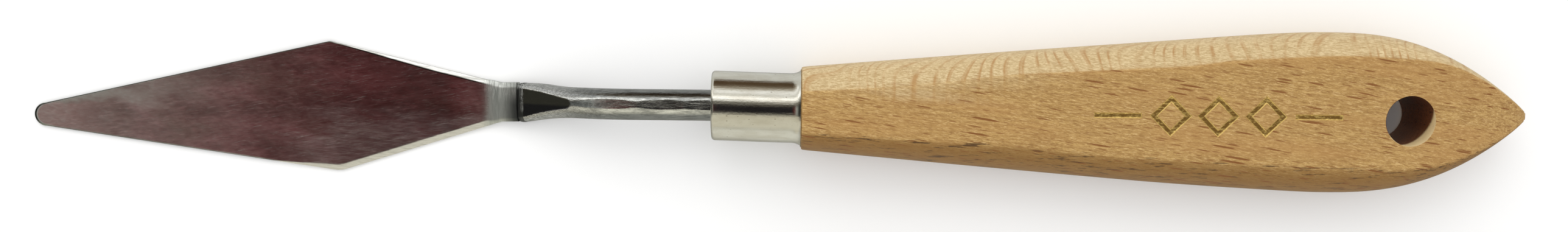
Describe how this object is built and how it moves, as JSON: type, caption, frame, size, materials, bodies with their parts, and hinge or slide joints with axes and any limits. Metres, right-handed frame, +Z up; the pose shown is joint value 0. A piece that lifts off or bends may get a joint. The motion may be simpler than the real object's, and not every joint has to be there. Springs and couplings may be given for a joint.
{
  "type": "painting knife",
  "caption": "Cranked artist's palette knife with a springy diamond steel blade on a forged neck, a nickel ferrule and a lacquered beech handle with a hanging hole",
  "frame": {"origin": "bottom centre of the box round the knife as it lies: z = 0 is the surface under the handle's back and the blade's underside", "axes": "+X runs from the blade's tip to the handle's tail, +Z is up through the handle's stamped face, +Y completes the right-handed frame"},
  "size_m": [0.2281, 0.0242, 0.013],
  "materials": {
    "polished_steel": "polished, with fine lengthwise scratches",
    "weld_steel": "ground weld, with cross grinding marks",
    "ground_steel": "belt ground, satin",
    "nickel_plate": "bright nickel plate, warm tint",
    "lacquered_beech": "clear satin lacquer over beech with dark flecks",
    "epoxy": "cured clear amber adhesive",
    "gold_foil": "hot stamped gold foil"
  },
  "bodies": {
    "handle": {"handle": "lacquered_beech", "ferrule": "nickel_plate", "neck": "ground_steel", "weld": "weld_steel", "tang_adhesive": "epoxy", "foil_rule_front": "gold_foil", "foil_lozenge_front": "gold_foil", "foil_lozenge_middle": "gold_foil", "foil_lozenge_rear": "gold_foil", "foil_rule_rear": "gold_foil"},
    "blade": {"blade": "polished_steel"}
  },
  "joints": [
    {"name": "blade_flex", "type": "hinge", "parent": "handle", "child": "blade", "pos_m": [-0.05544, -0.00062, 0.0003], "axis": [-0.0366, 0.9993, 0], "range_deg": [0, 25], "stiffness_Nm_per_rad": 1.27}
  ]
}
